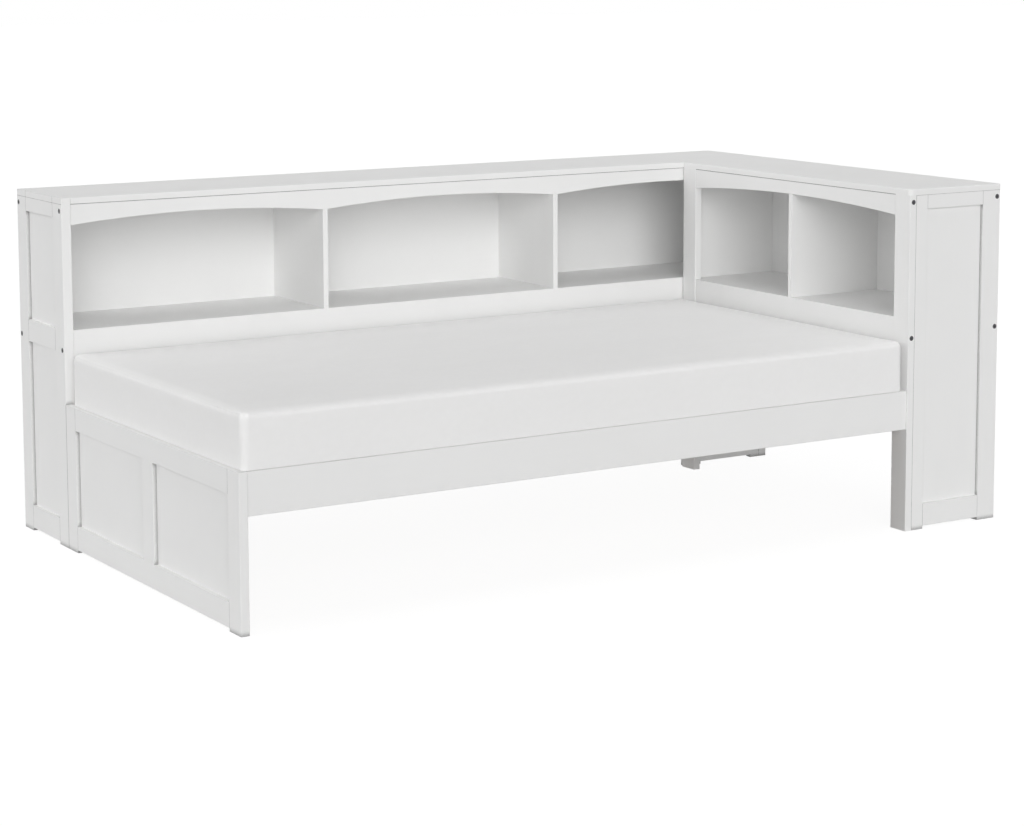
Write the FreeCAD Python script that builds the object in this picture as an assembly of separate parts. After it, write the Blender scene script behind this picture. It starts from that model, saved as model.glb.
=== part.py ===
import FreeCAD, Part
import os

# Corner bookcase bed.  Millimetres, +Z up, floor at Z = 0.
# +X runs from the foot of the bed to its head, +Y from the open side to the wall.
# The origin is the centre of the bounding box's bottom face.

# ---- overall sizes ----
BED_LENGTH = 2254.0
BED_WIDTH = 1314.0
BED_HEIGHT = 908.0
SIDE_CASE_DEPTH = 305.0      # long bookcase along the wall, in Y
HEAD_CASE_DEPTH = 312.0      # short bookcase at the head, in X

# ---- boards ----
TOP_THICK = 16.0
SHELF_THICK = 16.0
DIVIDER_THICK = 15.0
BACK_THICK = 3.0
STRETCHER_THICK = 15.0
FACE_THICK = 20.0            # valances, shelf aprons and lower rails
TOP_EDGE_ROUND = 3.0
TOP_CORNER_ROUND = 12.0
EASE = 1.5                   # softened corner of a stile, post or slat
SIDE_CASE_BAYS = 3
SIDE_CASE_ARCHES = 3
HEAD_CASE_BAYS = 2
HEAD_CASE_ARCHES = 1         # one arch over both bays

# ---- framed ends ----
END_THICK = 26.0
STILE_WIDE = 60.0
PANEL_THICK = 6.0
PANEL_RECESS = 10.0
GROOVE_DEEP = 9.0
PANEL_FLOAT = 1.0            # room left between a panel and the bottom of its groove
FOOT_GAP = 8.0               # lowest rail above the floor
LOW_RAIL_TALL = 60.0
MIDDLE_RAIL_TALL = 57.0
TOP_RAIL_TALL = 53.0         # measured down from the top of the bed

# ---- heights ----
SHELF_TOP = 567.0
BED_LEVEL = 376.0            # top of the side rail and of the footboard
RAIL_TALL = 103.0            # side rail, shelf aprons and lower rails
VALANCE_TALL = 55.0          # at its ends, where it is tallest
ARCH_RISE = 18.5
TOP_STRETCHER_TALL = 36.0
SHELF_STRETCHER_TALL = 54.0
SIDE_SET_BACK = 4.0          # face boards behind the long case's framed ends
HEAD_SET_BACK = 1.5          # face boards behind the short case's posts

# ---- posts, footboard, corner frame and side rail ----
POST_THICK = 21.0
POST_WIDE = 60.0
FOOT_THICK = 22.0
FOOT_TOP_RAIL_TALL = 58.0
FOOT_RECESS = 11.0
MUNTIN_WIDE = 62.0
CORNER_SET_BACK = 10.0       # corner frame behind the front of the short case
CORNER_STILE_WIDE = 58.0     # its stile at that end
CORNER_KEY_STILE_WIDE = 32.0 # its stile against the long case's head end
CORNER_TOP_RAIL_TALL = 50.0
SIDE_RAIL_THICK = 24.0
SIDE_RAIL_INSET = 5.0

# ---- slats and mattress ----
CLEAT = 25.0
SLAT_THICK = 18.0
SLAT_WIDE = 68.0
SLAT_COUNT = 14
SLAT_PROUD = 0.5             # slats above the side rail
SLAT_END_GAP = 1.0
SLAT_FIRST_GAP = 24.0        # footboard to first slat, and last slat to the head case
WEB_THICK = 1.2
WEB_WIDE = 25.0
WEB_APART = 560.0
MATTRESS_THICK = 135.0
MATTRESS_FROM_FOOT = 12.5    # from the bed's outer faces
MATTRESS_FROM_FRONT = 4.0
MATTRESS_FROM_HEAD = 10.5    # from the two bookcases
MATTRESS_FROM_SIDE = 14.0
MATTRESS_CORNER = 14.0
MATTRESS_EDGE = 9.0          # bevel round its top
MATTRESS_LOW_EDGE = 3.0      # bevel round its bottom

# ---- connecting screws and tenons ----
SCREW_R = 3.0
SCREW_BITE = 38.0            # reach of a screw into the board that it holds
SCREW_HEAD_R = 6.5
SCREW_HEAD_TALL = 3.2
SCREW_SOCKET_R = 2.4
SCREW_SOCKET_DEEP = 2.0
SCREW_HIGH_DROP = 34.0       # top screws below the top of the bed
TENON_LONG = 12.0
TENON_THICK = 8.0
TENON_SHOULDER = 10.0        # above and below a tenon
KEY_LONG = 30.0              # loose tenons between neighbouring frames
KEY_TALL = 40.0
KEY_LOW = 120.0              # their heights
KEY_FOOT_HIGH = 230.0
KEY_HEAD_HIGH = 700.0

# ---- steel hooks that hang the side rail ----
HOOK_PLATE_THICK = 2.5
HOOK_PLATE_WIDE = 16.0
HOOK_PLATE_TALL = 88.0
HOOK_STEEL = 3.0
HOOK_REACH = 11.0
HOOK_TALL = 18.0
HOOK_LIP = 6.0
HOOK_APART = 46.0
HOOK_SLACK = 0.4
POCKET_WIDE = 8.0
POCKET_TALL = 80.0

# ---- places worked out from the sizes above ----
FOOT_X = -BED_LENGTH / 2
HEAD_X = BED_LENGTH / 2
FRONT_Y = -BED_WIDTH / 2
WALL_Y = BED_WIDTH / 2
CASE_Y = WALL_Y - SIDE_CASE_DEPTH          # front plane of the long case
CASE_X = HEAD_X - HEAD_CASE_DEPTH          # front plane of the short case
HEAD_CASE_WIDE = CASE_Y - FRONT_Y
TOP_UNDER = BED_HEIGHT - TOP_THICK
VALANCE_UNDER = TOP_UNDER - VALANCE_TALL
SHELF_UNDER = SHELF_TOP - SHELF_THICK
STRETCHER_UNDER = SHELF_UNDER - SHELF_STRETCHER_TALL
RAIL_UNDER = BED_LEVEL - RAIL_TALL
RAIL_Y = FRONT_Y + SIDE_RAIL_INSET
RAIL_INNER_Y = RAIL_Y + SIDE_RAIL_THICK
RAIL_X = FOOT_X + FOOT_THICK
RAIL_MIDDLE = BED_LEVEL - RAIL_TALL / 2
SIDE_FACE_Y = CASE_Y + SIDE_SET_BACK + FACE_THICK / 2     # middle of the long case's face boards
HEAD_FACE_X = CASE_X + HEAD_SET_BACK + FACE_THICK / 2     # middle of the short case's face boards
REAR_INSET = BACK_THICK + STRETCHER_THICK / 2             # middle of a stretcher from the back
SLAT_TOP = BED_LEVEL + SLAT_PROUD
SLAT_UNDER = SLAT_TOP - SLAT_THICK
SCREW_HIGH = BED_HEIGHT - SCREW_HIGH_DROP
APRON_MIDDLE = SHELF_TOP - RAIL_TALL / 2
STRETCHER_MIDDLE = SHELF_UNDER - SHELF_STRETCHER_TALL / 2

pieces = {}
screws = []
keys = []
hook_plates = []
slot_plates = []


def box(x0, x1, y0, y1, z0, z1):
    """A block between two opposite corners."""
    return Part.makeBox(x1 - x0, y1 - y0, z1 - z0, FreeCAD.Vector(x0, y0, z0))


def near(a, b):
    return abs(a - b) < 0.01


def grouped(solids):
    """One shape for a node: a lone solid as it is, several as a group of separate solids."""
    if not isinstance(solids, list):
        return solids
    return solids[0] if len(solids) == 1 else Part.makeCompound(solids)


def round_edges(solid, radius, wanted):
    """Round each edge whose ends both pass the test."""
    edges = [e for e in solid.Edges if all(wanted(v.Point) for v in e.Vertexes)]
    return solid.makeFillet(radius, edges)


def rod(start, direction, radius, length):
    return Part.makeCylinder(radius, length, start, direction)


def place(made, name, degrees, x, y):
    """Turn the pieces of one sub-assembly about the vertical, move them and keep them."""
    for key, solid in made.items():
        solid.rotate(FreeCAD.Vector(0, 0, 0), FreeCAD.Vector(0, 0, 1), degrees)
        solid.translate(FreeCAD.Vector(x, y, 0))
        pieces[name + "_" + key] = solid


# ---------------------------------------------------------------- framed ends
# A frame is drawn with its outer face on y = 0, its width along x and its thickness
# along +y, and is then turned to its side of the bed.

def upright(x0, x1, outer_x, thick, tall, groove):
    """A stile with a stopped groove in its inner edge and softened outer corners."""
    stile = box(x0, x1, 0, thick, 0, tall)
    corners = [e for e in stile.Edges if e.Length > tall - 1 and near(e.BoundBox.XMin, outer_x)]
    return stile.makeFillet(EASE, corners).cut(groove)


def framed_end(wide, tall, thick, recess, stile_widths, rails, muntin=0.0):
    """Two stiles, rails tenoned between them and a loose flat panel in each opening.

    rails lists (name, bottom, top) from the floor up.  A muntin, where it has a width,
    stands in the middle of the opening between two rails.
    """
    left = stile_widths[0]
    right = wide - stile_widths[1]
    y0 = recess
    y1 = recess + PANEL_THICK
    low = rails[0][1]
    high = rails[-1][2]
    deep = GROOVE_DEEP
    reach = GROOVE_DEEP - PANEL_FLOAT
    made = {}
    left_groove = box(left - deep, left, y0, y1, low, high)
    right_groove = box(right, right + deep, y0, y1, low, high)
    made["left_stile"] = upright(0, left, 0, thick, tall, left_groove)
    made["right_stile"] = upright(right, wide, wide, thick, tall, right_groove)

    for rail_name, bottom, top in rails:
        rail = box(left, right, 0, thick, bottom, top)
        rail = rail.fuse(box(left - deep, right + deep, y0, y1, bottom, top))
        if top < high:
            rail = rail.cut(box(left - deep, right + deep, y0, y1, top - deep, top))
        if bottom > low:
            rail = rail.cut(box(left - deep, right + deep, y0, y1, bottom, bottom + deep))
        made[rail_name] = rail.removeSplitter()

    openings = [(a[2], b[1]) for a, b in zip(rails[:-1], rails[1:])]
    if muntin:
        bottom, top = openings[0]
        x0 = (left + right - muntin) / 2
        x1 = (left + right + muntin) / 2
        bar = box(x0, x1, 0, thick, bottom, top)
        bar = bar.fuse(box(x0, x1, y0, y1, bottom - deep, top + deep))
        bar = bar.cut(box(x0, x0 + deep, y0, y1, bottom - deep, top + deep))
        bar = bar.cut(box(x1 - deep, x1, y0, y1, bottom - deep, top + deep))
        made["muntin"] = bar.removeSplitter()
        fields = [("panels", left, x0, bottom, top), ("panels", x1, right, bottom, top)]
    elif len(openings) == 1:
        fields = [("panel", left, right) + openings[0]]
    else:
        fields = [("lower_panel", left, right) + openings[0], ("upper_panel", left, right) + openings[1]]
    for panel_name, x0, x1, bottom, top in fields:
        panel = box(x0 - reach, x1 + reach, y0, y1, bottom - reach, top + reach)
        made.setdefault(panel_name, []).append(panel)
    return {name: grouped(solid) for name, solid in made.items()}


LOW_RAIL = ("bottom_rail", FOOT_GAP, FOOT_GAP + LOW_RAIL_TALL)


def side_case_ends():
    """Both framed ends of the long case, full height, the middle rail level with the shelf."""
    rails = [
        LOW_RAIL,
        ("middle_rail", SHELF_TOP - MIDDLE_RAIL_TALL, SHELF_TOP),
        ("top_rail", BED_HEIGHT - TOP_RAIL_TALL, BED_HEIGHT),
    ]
    stiles = (STILE_WIDE, STILE_WIDE)
    foot_end = framed_end(SIDE_CASE_DEPTH, BED_HEIGHT, END_THICK, PANEL_RECESS, stiles, rails)
    place(foot_end, "side_case_foot_end", -90, FOOT_X, WALL_Y)
    head_end = framed_end(SIDE_CASE_DEPTH, BED_HEIGHT, END_THICK, PANEL_RECESS, stiles, rails)
    place(head_end, "side_case_head_end", 90, HEAD_X, CASE_Y)


def head_case_ends():
    """The short case's framed end at the open side and its plain board against the long case."""
    rails = [LOW_RAIL, ("top_rail", BED_HEIGHT - TOP_RAIL_TALL, TOP_UNDER)]
    x0 = CASE_X + POST_THICK
    stiles = (STILE_WIDE - POST_THICK, STILE_WIDE)
    front = framed_end(HEAD_X - x0, TOP_UNDER, END_THICK, PANEL_RECESS, stiles, rails)
    place(front, "head_case_front_end", 0, x0, FRONT_Y)
    pieces["head_case_wall_board"] = box(x0, HEAD_X, CASE_Y - END_THICK, CASE_Y, RAIL_UNDER, TOP_UNDER)


def corner_frame():
    """Low framed panel under the long case's lower rail, where the two cases meet."""
    x0 = CASE_X + CORNER_SET_BACK
    rails = [LOW_RAIL, ("top_rail", RAIL_UNDER - CORNER_TOP_RAIL_TALL, RAIL_UNDER)]
    stiles = (CORNER_STILE_WIDE, CORNER_KEY_STILE_WIDE)
    wide = HEAD_X - END_THICK - x0
    frame = framed_end(wide, RAIL_UNDER, FACE_THICK, PANEL_RECESS, stiles, rails)
    frame["stiles"] = grouped([frame.pop("left_stile"), frame.pop("right_stile")])
    place(frame, "corner_frame", 0, x0, CASE_Y)


def head_case_posts():
    """Two face posts, which carry the face boards and the head end of the side rail."""
    for name, y0 in (("front", FRONT_Y), ("wall", CASE_Y - POST_WIDE)):
        post = box(CASE_X, CASE_X + POST_THICK, y0, y0 + POST_WIDE, 0, TOP_UNDER)
        corners = [e for e in post.Edges if e.Length > TOP_UNDER - 1 and near(e.BoundBox.XMin, CASE_X)]
        pieces["head_case_" + name + "_post"] = post.makeFillet(EASE, corners)


def footboard():
    """Low framed panel with a muntin.  Its front stile is the leg at the open corner."""
    rails = [LOW_RAIL, ("top_rail", BED_LEVEL - FOOT_TOP_RAIL_TALL, BED_LEVEL)]
    stiles = (STILE_WIDE, STILE_WIDE)
    frame = framed_end(HEAD_CASE_WIDE, BED_LEVEL, FOOT_THICK, FOOT_RECESS, stiles, rails, MUNTIN_WIDE)
    place(frame, "footboard", -90, FOOT_X, CASE_Y)


# ---------------------------------------------------------------- bookcases
# The boards of a case are drawn with its open face towards -y and its length along x.

def bays(start, end, count):
    """Equal clear spans between dividers, as (from, to) pairs."""
    clear = (end - start - (count - 1) * DIVIDER_THICK) / count
    step = clear + DIVIDER_THICK
    return [(start + i * step, start + i * step + clear) for i in range(count)]


def valance(spans, front):
    """A face board under the top, its lower edge rising in one shallow arc over each span."""
    corner = FreeCAD.Vector
    start = spans[0][0]
    end = spans[-1][1]
    edges = []
    for index, (x0, x1) in enumerate(spans):
        crown = corner((x0 + x1) / 2, front, VALANCE_UNDER + ARCH_RISE)
        spring = corner(x1, front, VALANCE_UNDER)
        edges.append(Part.Arc(corner(x0, front, VALANCE_UNDER), crown, spring).toShape())
        if index + 1 < len(spans):
            following = corner(spans[index + 1][0], front, VALANCE_UNDER)
            edges.append(Part.LineSegment(spring, following).toShape())
    outline = [(end, VALANCE_UNDER), (end, TOP_UNDER), (start, TOP_UNDER), (start, VALANCE_UNDER)]
    for (xa, za), (xb, zb) in zip(outline[:-1], outline[1:]):
        edges.append(Part.LineSegment(corner(xa, front, za), corner(xb, front, zb)).toShape())
    return Part.Face(Part.Wire(edges)).extrude(corner(0, FACE_THICK, 0))


def divider(x0, front, back, face_board):
    """An upright on the shelf, notched round the face board above it and the top stretcher."""
    board = box(x0, x0 + DIVIDER_THICK, front, back, SHELF_TOP, TOP_UNDER)
    stretcher_under = TOP_UNDER - TOP_STRETCHER_TALL
    back_notch = box(x0, x0 + DIVIDER_THICK, back - STRETCHER_THICK, back, stretcher_under, TOP_UNDER)
    return board.cut(face_board).cut(back_notch)


def case_boards(ends, faces, front, depth, bay_count, arch_count):
    """All the boards of one case.

    ends are the inner faces of its framed ends and faces those of what holds its face boards,
    front is how far the face boards stand back, and the bays lie between faces.
    """
    x0, x1 = ends
    f0, f1 = faces
    back = depth - BACK_THICK
    inner = front + FACE_THICK
    behind = back - STRETCHER_THICK
    face_board = valance(bays(f0, f1, arch_count), front)
    made = {
        "valance": face_board,
        "shelf_apron": box(f0, f1, front, inner, SHELF_TOP - RAIL_TALL, SHELF_TOP),
        "lower_rail": box(f0, f1, front, inner, RAIL_UNDER, BED_LEVEL),
        "shelf": box(x0, x1, inner, back, SHELF_UNDER, SHELF_TOP),
        "top_stretcher": box(x0, x1, behind, back, TOP_UNDER - TOP_STRETCHER_TALL, TOP_UNDER),
        "shelf_stretcher": box(x0, x1, behind, back, STRETCHER_UNDER, SHELF_UNDER),
        "back": box(x0, x1, back, depth, STRETCHER_UNDER, TOP_UNDER),
    }
    spans = bays(f0, f1, bay_count)
    made["dividers"] = grouped([divider(span[1], front, back, face_board) for span in spans[:-1]])
    return made


def side_case():
    """Long case along the wall; its top lies between the framed ends."""
    ends = (END_THICK, BED_LENGTH - END_THICK)
    boards = case_boards(ends, ends, SIDE_SET_BACK, SIDE_CASE_DEPTH, SIDE_CASE_BAYS, SIDE_CASE_ARCHES)
    top = box(ends[0], ends[1], 0, SIDE_CASE_DEPTH, TOP_UNDER, BED_HEIGHT)
    boards["top"] = round_edges(top, TOP_EDGE_ROUND, lambda p: near(p.y, 0) and p.z > TOP_UNDER + 1)
    place(boards, "side_case", 0, FOOT_X, CASE_Y)


def head_case():
    """Short case across the head; its top lies on the posts and framed ends."""
    ends = (END_THICK, HEAD_CASE_WIDE - END_THICK)
    faces = (POST_WIDE, HEAD_CASE_WIDE - POST_WIDE)
    boards = case_boards(ends, faces, HEAD_SET_BACK, HEAD_CASE_DEPTH, HEAD_CASE_BAYS, HEAD_CASE_ARCHES)
    top = box(0, HEAD_CASE_WIDE, 0, HEAD_CASE_DEPTH, TOP_UNDER, BED_HEIGHT)
    top = round_edges(top, TOP_CORNER_ROUND, lambda p: near(p.x, HEAD_CASE_WIDE) and near(p.y, 0))
    upper = [e for e in top.Edges if all(near(v.Z, BED_HEIGHT) for v in e.Vertexes)]
    shown = [e for e in upper if e.BoundBox.XMax > 1 and e.BoundBox.YMin < HEAD_CASE_DEPTH - 1]
    boards["top"] = top.makeFillet(TOP_EDGE_ROUND, shown)
    place(boards, "head_case", -90, CASE_X, CASE_Y)


# ---------------------------------------------------------------- bed
def side_rail():
    """Rail at the open side, rebated at both ends for its hook plates."""
    rail = box(RAIL_X, CASE_X, RAIL_Y, RAIL_INNER_Y, RAIL_UNDER, BED_LEVEL)
    long_edges = [e for e in rail.Edges if e.Length > RAIL_TALL and near(e.BoundBox.YMin, RAIL_Y)]
    long_edges = [e for e in long_edges if near(e.BoundBox.YMax, RAIL_Y)]
    pieces["side_rail"] = rail.makeFillet(EASE, long_edges)


def slats():
    """Slats on a cleat at each side, held at their pitch by two webbing straps."""
    y0 = RAIL_INNER_Y
    y1 = CASE_Y + SIDE_SET_BACK
    under = SLAT_UNDER - CLEAT
    pieces["side_rail_cleat"] = box(RAIL_X, CASE_X, y0, y0 + CLEAT, under, SLAT_UNDER)
    pieces["side_case_cleat"] = box(FOOT_X + END_THICK, CASE_X, y1 - CLEAT, y1, under, SLAT_UNDER)
    first = RAIL_X + SLAT_FIRST_GAP
    step = (CASE_X - SLAT_FIRST_GAP - SLAT_WIDE - first) / (SLAT_COUNT - 1)
    rows = []
    for index in range(SLAT_COUNT):
        x0 = first + index * step
        slat = box(x0, x0 + SLAT_WIDE, y0 + SLAT_END_GAP, y1 - SLAT_END_GAP, SLAT_UNDER, SLAT_TOP)
        top_edges = [e for e in slat.Edges if e.Length > SLAT_WIDE + 1 and near(e.BoundBox.ZMin, SLAT_TOP)]
        rows.append(slat.makeChamfer(EASE, top_edges))
    pieces["bed_slats"] = grouped(rows)
    middle = (y0 + y1) / 2
    straps = []
    for side in (-1, 1):
        y = middle + side * WEB_APART / 2
        straps.append(box(first, first + step * (SLAT_COUNT - 1) + SLAT_WIDE,
                          y - WEB_WIDE / 2, y + WEB_WIDE / 2, SLAT_UNDER - WEB_THICK, SLAT_UNDER))
    pieces["slat_webbing"] = grouped(straps)


def mattress():
    """Plain closed pad with rounded corners and edges."""
    high = SLAT_TOP + MATTRESS_THICK
    pad = box(FOOT_X + MATTRESS_FROM_FOOT, CASE_X - MATTRESS_FROM_HEAD,
              FRONT_Y + MATTRESS_FROM_FRONT, CASE_Y - MATTRESS_FROM_SIDE, SLAT_TOP, high)
    standing = [e for e in pad.Edges if e.BoundBox.ZLength > MATTRESS_THICK / 2]
    pad = pad.makeFillet(MATTRESS_CORNER, standing)
    for bevel, z in ((MATTRESS_LOW_EDGE, SLAT_TOP), (MATTRESS_EDGE, high)):
        rim = [e for e in pad.Edges if all(near(v.Z, z) for v in e.Vertexes)]
        pad = pad.makeChamfer(bevel, rim)
    pieces["mattress"] = pad


# ---------------------------------------------------------------- fasteners
def bore(names, hole):
    """Take one hole out of each named piece."""
    for name in names:
        pieces[name] = pieces[name].cut(hole)


def hexagon(centre, direction, radius, length):
    """A six-sided bar from centre along direction."""
    side = FreeCAD.Vector(0, 0, radius)
    turn = FreeCAD.Rotation(direction, 60)
    corners = [side]
    for _ in range(5):
        corners.append(turn.multVec(corners[-1]))
    ring = [centre + c for c in corners]
    return Part.Face(Part.makePolygon(ring + ring[:1])).extrude(direction * length)


def screw_joint(face, inward, upright_name, grip, board):
    """One socket-headed screw through an upright into the end of a board.

    face is the point on the upright's outer face, inward the screw's direction and grip the
    wood that it crosses before the board.
    """
    seat = face + inward * SCREW_HEAD_TALL
    shank = rod(seat, inward, SCREW_R, grip - SCREW_HEAD_TALL + SCREW_BITE)
    head = rod(face, inward, SCREW_HEAD_R, SCREW_HEAD_TALL)
    bore([upright_name], head)
    bore([upright_name, board], shank)
    socket = hexagon(face, inward, SCREW_SOCKET_R, SCREW_SOCKET_DEEP)
    screws.append(head.fuse(shank).cut(socket))


def tenon_joint(middle, inward, upright_name, board, tall):
    """A tenon on the end of a board and its mortise in the upright.

    middle is the centre of the board's end and inward the way from the board into the upright.
    """
    across = FreeCAD.Vector(abs(inward.y), abs(inward.x), 0) * (TENON_THICK / 2)
    rise = FreeCAD.Vector(0, 0, tall / 2 - TENON_SHOULDER)
    tip = middle + inward * TENON_LONG
    corners = [middle - across - rise, middle + across + rise, tip - across - rise, tip + across + rise]
    tenon = box(min(c.x for c in corners), max(c.x for c in corners),
                min(c.y for c in corners), max(c.y for c in corners),
                min(c.z for c in corners), max(c.z for c in corners))
    pieces[board] = pieces[board].fuse(tenon).removeSplitter()
    bore([upright_name], tenon)


ALONG = FreeCAD.Vector(1, 0, 0)
ACROSS = FreeCAD.Vector(0, 1, 0)


def case_screws():
    """Four screws in each framed end that shows, two at the front and two at the back."""
    front_boards = ((SCREW_HIGH, "valance"), (APRON_MIDDLE, "shelf_apron"))
    rear_boards = ((SCREW_HIGH, "top_stretcher"), (STRETCHER_MIDDLE, "shelf_stretcher"))
    rear_y = WALL_Y - REAR_INSET
    for x, inward, face_stile, rear_stile in (
        (FOOT_X, ALONG, "side_case_foot_end_right_stile", "side_case_foot_end_left_stile"),
        (HEAD_X, -ALONG, "side_case_head_end_left_stile", "side_case_head_end_right_stile"),
    ):
        for z, board in front_boards:
            face = FreeCAD.Vector(x, SIDE_FACE_Y, z)
            screw_joint(face, inward, face_stile, END_THICK, "side_case_" + board)
        for z, board in rear_boards:
            face = FreeCAD.Vector(x, rear_y, z)
            screw_joint(face, inward, rear_stile, END_THICK, "side_case_" + board)
    for z, board in front_boards:
        face = FreeCAD.Vector(HEAD_FACE_X, FRONT_Y, z)
        screw_joint(face, ACROSS, "head_case_front_post", POST_WIDE, "head_case_" + board)
    for z, board in rear_boards:
        face = FreeCAD.Vector(HEAD_X - REAR_INSET, FRONT_Y, z)
        screw_joint(face, ACROSS, "head_case_front_end_right_stile", END_THICK, "head_case_" + board)
    pieces["case_screws"] = grouped(screws)


def case_tenons():
    """Tenons on the lower rails, and on every board where it meets the hidden wall end."""
    for x, inward, stile in (
        (FOOT_X + END_THICK, -ALONG, "side_case_foot_end_right_stile"),
        (HEAD_X - END_THICK, ALONG, "side_case_head_end_left_stile"),
    ):
        middle = FreeCAD.Vector(x, SIDE_FACE_Y, RAIL_MIDDLE)
        tenon_joint(middle, inward, stile, "side_case_lower_rail", RAIL_TALL)
    middle = FreeCAD.Vector(HEAD_FACE_X, FRONT_Y + POST_WIDE, RAIL_MIDDLE)
    tenon_joint(middle, -ACROSS, "head_case_front_post", "head_case_lower_rail", RAIL_TALL)
    for z, board, tall in (
        (RAIL_MIDDLE, "lower_rail", RAIL_TALL),
        (APRON_MIDDLE, "shelf_apron", RAIL_TALL),
        (TOP_UNDER - VALANCE_TALL / 2, "valance", VALANCE_TALL),
    ):
        middle = FreeCAD.Vector(HEAD_FACE_X, CASE_Y - POST_WIDE, z)
        tenon_joint(middle, ACROSS, "head_case_wall_post", "head_case_" + board, tall)
    for z, board, tall in (
        (TOP_UNDER - TOP_STRETCHER_TALL / 2, "top_stretcher", TOP_STRETCHER_TALL),
        (STRETCHER_MIDDLE, "shelf_stretcher", SHELF_STRETCHER_TALL),
    ):
        middle = FreeCAD.Vector(HEAD_X - REAR_INSET, CASE_Y - END_THICK, z)
        tenon_joint(middle, ACROSS, "head_case_wall_board", "head_case_" + board, tall)


def loose_tenons():
    """Hidden keys across the joints between neighbouring frames and boards."""
    foot_middle = FOOT_X + FOOT_THICK / 2
    head_middle = HEAD_X - END_THICK / 2
    foot_frames = ["footboard_left_stile", "side_case_foot_end_right_stile"]
    half_thick = TENON_THICK / 2
    half_long = KEY_LONG / 2
    for x, y, z, half_x, half_y, names in (
        (foot_middle, CASE_Y, KEY_LOW, half_thick, half_long, foot_frames),
        (foot_middle, CASE_Y, KEY_FOOT_HIGH, half_thick, half_long, foot_frames),
        (head_middle, CASE_Y, KEY_HEAD_HIGH, half_thick, half_long,
         ["head_case_wall_board", "side_case_head_end_left_stile"]),
        (HEAD_X - END_THICK, CASE_Y + FACE_THICK / 2, KEY_LOW, half_long, half_thick,
         ["corner_frame_stiles", "side_case_head_end_left_stile"]),
    ):
        key = box(x - half_x, x + half_x, y - half_y, y + half_y, z - KEY_TALL / 2, z + KEY_TALL / 2)
        bore(names, key)
        keys.append(key)
    pieces["loose_tenons"] = grouped(keys)


def rail_hook(face_x, outward, upright_name):
    """A hook plate let into the end of the side rail and its slotted plate in the upright.

    face_x is the plane where rail and upright meet, outward the way from rail to upright.
    """
    middle_y = RAIL_Y + SIDE_RAIL_THICK / 2

    def block(near_face, far_face, wide, low, high):
        ends = sorted((face_x + outward * near_face, face_x + outward * far_face))
        return box(ends[0], ends[1], middle_y - wide / 2, middle_y + wide / 2, low, high)

    low = RAIL_MIDDLE - HOOK_PLATE_TALL / 2
    high = RAIL_MIDDLE + HOOK_PLATE_TALL / 2
    rail_plate = block(-HOOK_PLATE_THICK, 0, HOOK_PLATE_WIDE, low, high)
    slot_plate = block(0, HOOK_PLATE_THICK, HOOK_PLATE_WIDE, low, high)
    bore(["side_rail"], rail_plate)
    bore([upright_name], slot_plate)
    pocket_low = RAIL_MIDDLE - POCKET_TALL / 2
    pocket = block(0, HOOK_REACH + HOOK_SLACK, POCKET_WIDE, pocket_low, pocket_low + POCKET_TALL)
    bore([upright_name], pocket)
    for side in (-1, 1):
        seat = RAIL_MIDDLE + side * HOOK_APART / 2 - HOOK_TALL / 2
        tongue = block(-HOOK_PLATE_THICK, HOOK_REACH, HOOK_STEEL, seat, seat + HOOK_TALL)
        lip = block(HOOK_PLATE_THICK + HOOK_SLACK, HOOK_REACH, HOOK_STEEL, seat - HOOK_LIP, seat)
        rail_plate = rail_plate.fuse(tongue).fuse(lip)
        slot_top = seat + HOOK_TALL + HOOK_LIP + HOOK_SLACK
        slot_plate = slot_plate.cut(block(0, HOOK_PLATE_THICK, HOOK_STEEL + 2 * HOOK_SLACK, seat, slot_top))
    hook_plates.append(rail_plate.removeSplitter())
    slot_plates.append(slot_plate)


def rail_hooks():
    rail_hook(RAIL_X, -1, "footboard_right_stile")
    rail_hook(CASE_X, 1, "head_case_front_post")
    pieces["rail_hook_plates"] = grouped(hook_plates)
    pieces["rail_slot_plates"] = grouped(slot_plates)


def build():
    side_case_ends()
    head_case_ends()
    head_case_posts()
    footboard()
    corner_frame()
    side_case()
    head_case()
    side_rail()
    slats()
    mattress()
    case_screws()
    case_tenons()
    loose_tenons()
    rail_hooks()


build()
os.makedirs("parts", exist_ok=True)
for name in sorted(pieces):
    pieces[name].exportStep("parts/%s.step" % name)
print(len(pieces), "pieces")
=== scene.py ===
import math

import bpy
import numpy as np
from bpy.props import FloatProperty, FloatVectorProperty, IntProperty, PointerProperty
from mathutils import Matrix, Vector


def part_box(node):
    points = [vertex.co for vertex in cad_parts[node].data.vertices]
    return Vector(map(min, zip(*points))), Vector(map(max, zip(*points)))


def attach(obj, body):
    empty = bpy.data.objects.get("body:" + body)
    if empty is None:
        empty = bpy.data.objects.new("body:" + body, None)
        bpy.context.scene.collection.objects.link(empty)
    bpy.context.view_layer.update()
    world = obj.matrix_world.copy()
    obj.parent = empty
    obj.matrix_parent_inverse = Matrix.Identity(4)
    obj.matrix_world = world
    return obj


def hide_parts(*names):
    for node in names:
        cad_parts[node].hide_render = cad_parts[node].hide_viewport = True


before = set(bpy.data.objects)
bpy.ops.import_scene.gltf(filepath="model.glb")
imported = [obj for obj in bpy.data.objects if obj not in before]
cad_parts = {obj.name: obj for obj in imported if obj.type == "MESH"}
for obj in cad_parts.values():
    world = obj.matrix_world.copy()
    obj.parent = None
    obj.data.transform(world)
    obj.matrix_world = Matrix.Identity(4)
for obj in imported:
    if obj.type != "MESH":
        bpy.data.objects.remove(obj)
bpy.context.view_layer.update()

bl_info = {
    "name": "Corner bookcase bed",
    "version": (1, 0, 0),
    "blender": (4, 5, 0),
    "location": "3D View > Sidebar > Bed",
    "description": "Paint, wood, steel, webbing and mattress for a corner bookcase bed",
    "category": "Object",
}

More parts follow.
